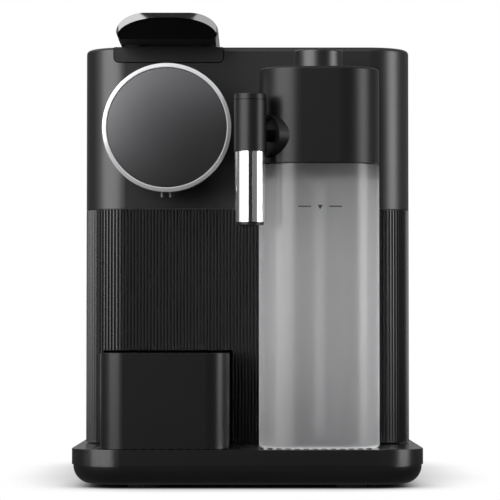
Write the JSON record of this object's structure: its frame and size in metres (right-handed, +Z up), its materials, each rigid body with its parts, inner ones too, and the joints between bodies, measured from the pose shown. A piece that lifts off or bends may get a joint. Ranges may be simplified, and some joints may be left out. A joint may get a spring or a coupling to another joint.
{
  "type": "pod coffee machine",
  "caption": "Upright pod coffee machine with a lifting lever, round outlet head, removable milk jug with swinging spout, sliding drip tray and capsule bin, and a rear water tank.",
  "frame": {"origin": "on the table, under the middle of the outer box", "axes": "+Z up, front towards -Y, +X to the right seen from the front"},
  "size_m": [0.203, 0.367, 0.2776],
  "materials": {
    "black_plastic": "satin black",
    "ribbed_plastic": "matte black, ribbed",
    "gloss_black": "gloss black",
    "chrome": "polished",
    "smoke_plastic": "frosted smoke grey",
    "tank_plastic": "clear dark smoke",
    "steel": "polished steel",
    "rubber": "soft black",
    "cast_alloy": "as cast",
    "board": "green board",
    "hose": "milky silicone",
    "inner_plastic": "grey"
  },
  "bodies": {
    "machine": {"base_chassis": "black_plastic", "upper_shell": "black_plastic", "rear_cover": "black_plastic", "lever_bay_panel": "black_plastic", "outlet_head": "black_plastic", "coffee_outlet": "black_plastic", "cord_gland": "black_plastic", "ribbed_shell": "ribbed_plastic", "control_panel": "gloss_black", "outlet_disc": "gloss_black", "outlet_ring": "chrome", "lever_pin": "steel", "shell_screws": "steel", "base_feet": "rubber", "dock_seal": "rubber", "pump_mounts": "rubber", "coffee_thermoblock": "cast_alloy", "steam_thermoblock": "cast_alloy", "main_board": "board", "touch_board": "board", "water_hoses": "hose", "inner_frame": "inner_plastic", "brew_frame": "inner_plastic", "water_pump": "inner_plastic", "flow_meter": "inner_plastic", "solenoid_valve": "inner_plastic", "tank_dock": "inner_plastic", "steam_socket": "inner_plastic"},
    "lever": {"lever_arm": "gloss_black", "lever_trim": "chrome"},
    "brew_carriage": {"brew_piston": "inner_plastic", "piston_seal": "rubber"},
    "capsule_bin": {"capsule_bin": "black_plastic", "cup_stand": "black_plastic"},
    "drip_tray": {"drip_tray": "black_plastic", "drip_grid": "steel", "tray_feet": "rubber"},
    "jug": {"milk_jug": "smoke_plastic"},
    "jug_lid": {"jug_lid": "black_plastic", "lid_skirt": "black_plastic", "lid_seal": "rubber", "suction_tube": "hose", "spout_collar": "black_plastic", "steam_plug": "black_plastic"},
    "spout": {"spout_sleeve": "black_plastic", "spout_cap": "black_plastic", "spout_tube": "chrome", "spout_tip": "black_plastic"},
    "froth_knob": {"froth_knob": "black_plastic"},
    "water_tank": {"water_tank": "tank_plastic", "tank_valve": "inner_plastic"},
    "tank_lid": {"tank_lid": "black_plastic"}
  },
  "joints": [
    {"name": "lever_lift", "type": "hinge", "parent": "machine", "child": "lever", "pos_m": [-0.0474, 0.0115, 0.2674], "axis": [-1, 0, 0], "range_deg": [0, 80]},
    {"name": "piston_slide", "type": "slide", "parent": "machine", "child": "brew_carriage", "axis": [0, 1, 0], "range_m": [0, 0.02]},
    {"name": "bin_slide", "type": "slide", "parent": "machine", "child": "capsule_bin", "axis": [0, -1, 0], "range_m": [0, 0.15]},
    {"name": "tray_slide", "type": "slide", "parent": "machine", "child": "drip_tray", "axis": [0, -1, 0], "range_m": [0, 0.1]},
    {"name": "jug_slide", "type": "slide", "parent": "machine", "child": "jug", "axis": [0, -1, 0], "range_m": [0, 0.12]},
    {"name": "lid_lift", "type": "slide", "parent": "jug", "child": "jug_lid", "axis": [0, 0, 1], "range_m": [0, 0.17]},
    {"name": "spout_swing", "type": "hinge", "parent": "jug_lid", "child": "spout", "pos_m": [0.0307, -0.1495, 0.2023], "axis": [0.766, 0.6428, 0], "range_deg": [0, 30]},
    {"name": "knob_turn", "type": "hinge", "parent": "jug_lid", "child": "froth_knob", "pos_m": [0.0417, -0.1405, 0.2481], "axis": [0, 0, 1], "range_deg": [0, 90]},
    {"name": "tank_lift", "type": "slide", "parent": "machine", "child": "water_tank", "axis": [0, 0, 1], "range_m": [0, 0.22]},
    {"name": "tank_lid_lift", "type": "slide", "parent": "water_tank", "child": "tank_lid", "axis": [0, 0, 1], "range_m": [0, 0.03]}
  ],
  "couplings": [
    {"joint": "piston_slide", "follows": "lever_lift", "m_per_rad": 0.0143}
  ]
}
